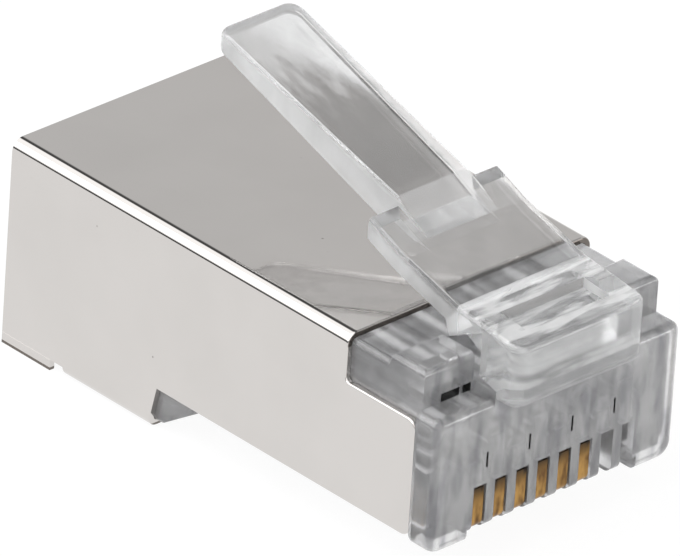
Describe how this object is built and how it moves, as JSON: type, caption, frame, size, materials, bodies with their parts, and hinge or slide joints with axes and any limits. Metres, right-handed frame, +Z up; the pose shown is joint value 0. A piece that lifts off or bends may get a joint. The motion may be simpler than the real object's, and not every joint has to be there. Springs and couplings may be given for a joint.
{
  "type": "modular plug",
  "caption": "Shielded modular plug for round network cable: clear moulded nose with gold blade contacts, a folded metal shield and a sprung snap latch on top.",
  "frame": {"origin": "centre of the plug's outline in plan, at the level of the shield's lower edge", "axes": "+X across the plug, -Y towards the nose that enters the jack, +Y towards the cable, +Z up to the latch"},
  "size_m": [0.0118, 0.023, 0.0139],
  "materials": {
    "clear_plastic": "clear polycarbonate, moulded, polished",
    "nickel_sheet": "bright nickel plated sheet, smooth",
    "gold_contact": "gold plated blade, satin"
  },
  "bodies": {
    "plug_body": {"housing": "clear_plastic", "shield": "nickel_sheet", "contact_1": "gold_contact", "contact_2": "gold_contact", "contact_3": "gold_contact", "contact_4": "gold_contact", "contact_5": "gold_contact", "contact_6": "gold_contact"},
    "latch": {"latch_lever": "clear_plastic"}
  },
  "joints": [
    {"name": "latch_press", "type": "hinge", "parent": "plug_body", "child": "latch", "pos_m": [0, -0.01048, 0.00715], "axis": [-1, 0, 0], "range_deg": [0, 10], "stiffness_Nm_per_rad": 0.02}
  ]
}
